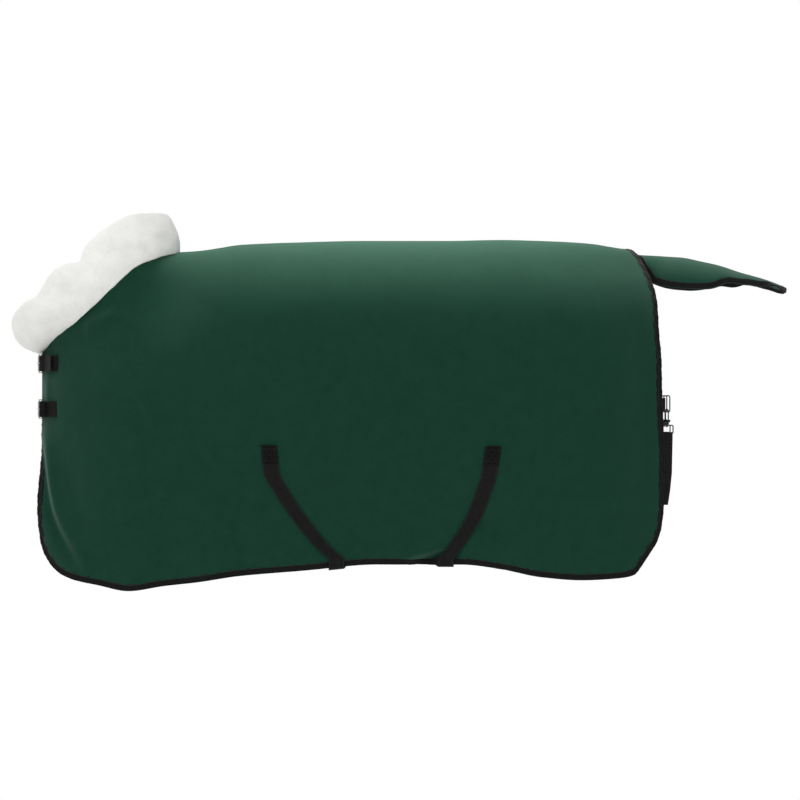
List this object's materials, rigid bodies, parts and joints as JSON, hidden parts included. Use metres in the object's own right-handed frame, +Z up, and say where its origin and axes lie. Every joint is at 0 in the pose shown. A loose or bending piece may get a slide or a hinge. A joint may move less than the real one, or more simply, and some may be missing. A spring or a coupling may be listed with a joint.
{
  "type": "horse turnout rug",
  "caption": "Green fleece horse rug with a padded collar, tail flap, buckled breast, crossed belly surcingles and clipped leg straps, in its worn shape.",
  "frame": {"origin": "underside of the spine seam tape at mid back, where the rug rests on the horse's back", "axes": "+X to the tail, +Y to the off (right) side, +Z up from the back; the near side is at -Y"},
  "size_m": [2.4367, 0.66, 1.1844],
  "materials": {
    "green_fleece": "matte pile",
    "white_fleece": "matte plush",
    "black_binding": "matte woven",
    "black_webbing": "matte woven",
    "black_plastic": "moulded",
    "steel": "plated",
    "dark_steel": "black coated"
  },
  "bodies": {
    "rug": {"front_slotted_plate": "steel", "front_t_hook": "steel", "lower_billet": "black_webbing", "lower_buckle_frame": "steel", "lower_chest_chape": "black_webbing", "near_body_panel": "green_fleece", "near_edge_binding": "black_binding", "near_front_surcingle": "black_webbing", "near_front_surcingle_patch": "black_webbing", "near_leg_ring": "dark_steel", "near_leg_strap": "black_webbing", "near_leg_tab": "black_webbing", "near_rear_surcingle": "black_webbing", "near_rear_surcingle_patch": "black_webbing", "near_snap_eye": "steel", "neck_collar": "white_fleece", "off_body_panel": "green_fleece", "off_edge_binding": "black_binding", "off_front_surcingle": "black_webbing", "off_front_surcingle_patch": "black_webbing", "off_leg_ring": "dark_steel", "off_leg_strap": "black_webbing", "off_leg_tab": "black_webbing", "off_rear_surcingle": "black_webbing", "off_rear_surcingle_patch": "black_webbing", "off_snap_eye": "steel", "rear_slotted_plate": "steel", "rear_t_hook": "steel", "spine_seam_tape": "black_binding", "upper_billet": "black_webbing", "upper_buckle_frame": "steel", "upper_chest_chape": "black_webbing"},
    "tail_flap": {"tail_flap": "green_fleece", "tail_flap_binding": "black_binding"},
    "upper_tongue": {"upper_buckle_tongue": "steel"},
    "upper_roller": {"upper_buckle_roller": "steel"},
    "upper_tip": {"upper_billet_tip": "black_webbing"},
    "lower_tongue": {"lower_buckle_tongue": "steel"},
    "lower_roller": {"lower_buckle_roller": "steel"},
    "lower_tip": {"lower_billet_tip": "black_webbing"},
    "near_snap": {"near_snap_hook": "steel"},
    "near_gate": {"near_snap_gate": "steel"},
    "off_snap": {"off_snap_hook": "steel"},
    "off_gate": {"off_snap_gate": "steel"},
    "front_keeper": {"front_slide_keeper": "black_plastic"},
    "rear_keeper": {"rear_slide_keeper": "black_plastic"}
  },
  "joints": [
    {"name": "tail_flap_hinge", "type": "hinge", "parent": "rug", "child": "tail_flap", "pos_m": [0.723, 0, -0.0397], "axis": [0, 1, 0], "range_deg": [-20, 20]},
    {"name": "upper_tongue_hinge", "type": "hinge", "parent": "rug", "child": "upper_tongue", "pos_m": [-1.14227, -0.05483, -0.3797], "axis": [0, 0, 1], "range_deg": [0, 60]},
    {"name": "upper_roller_spin", "type": "hinge", "parent": "rug", "child": "upper_roller", "pos_m": [-1.15284, -0.01212, -0.3797], "axis": [0, 0, 1], "continuous": true},
    {"name": "upper_tip_hinge", "type": "hinge", "parent": "rug", "child": "upper_tip", "pos_m": [-1.13161, -0.07717, -0.3797], "axis": [0, 0, -1], "range_deg": [-3, 70]},
    {"name": "lower_tongue_hinge", "type": "hinge", "parent": "rug", "child": "lower_tongue", "pos_m": [-1.14311, -0.05467, -0.5237], "axis": [0, 0, 1], "range_deg": [0, 60]},
    {"name": "lower_roller_spin", "type": "hinge", "parent": "rug", "child": "lower_roller", "pos_m": [-1.1528, -0.01175, -0.5237], "axis": [0, 0, 1], "continuous": true},
    {"name": "lower_tip_hinge", "type": "hinge", "parent": "rug", "child": "lower_tip", "pos_m": [-1.13338, -0.07714, -0.5237], "axis": [0, 0, -1], "range_deg": [-34, 40]},
    {"name": "near_snap_swivel", "type": "hinge", "parent": "rug", "child": "near_snap", "pos_m": [0.81993, -0.17681, -0.5657], "axis": [0, 0, 1], "range_deg": [-25, 25]},
    {"name": "near_gate_slide", "type": "slide", "parent": "near_snap", "child": "near_gate", "axis": [0, 0, -1], "range_m": [0, 0.012], "stiffness_N_per_m": 120, "springref_m": -0.004},
    {"name": "off_snap_swivel", "type": "hinge", "parent": "rug", "child": "off_snap", "pos_m": [0.81993, 0.17681, -0.5657], "axis": [0, 0, 1], "range_deg": [-25, 25]},
    {"name": "off_gate_slide", "type": "slide", "parent": "off_snap", "child": "off_gate", "axis": [0, 0, -1], "range_m": [0, 0.012], "stiffness_N_per_m": 120, "springref_m": -0.004},
    {"name": "front_keeper_slide", "type": "slide", "parent": "rug", "child": "front_keeper", "axis": [0.6075, 0.7944, 0], "range_m": [-0.1, 0.15]},
    {"name": "rear_keeper_slide", "type": "slide", "parent": "rug", "child": "rear_keeper", "axis": [-0.6075, 0.7944, 0], "range_m": [-0.1, 0.15]}
  ]
}
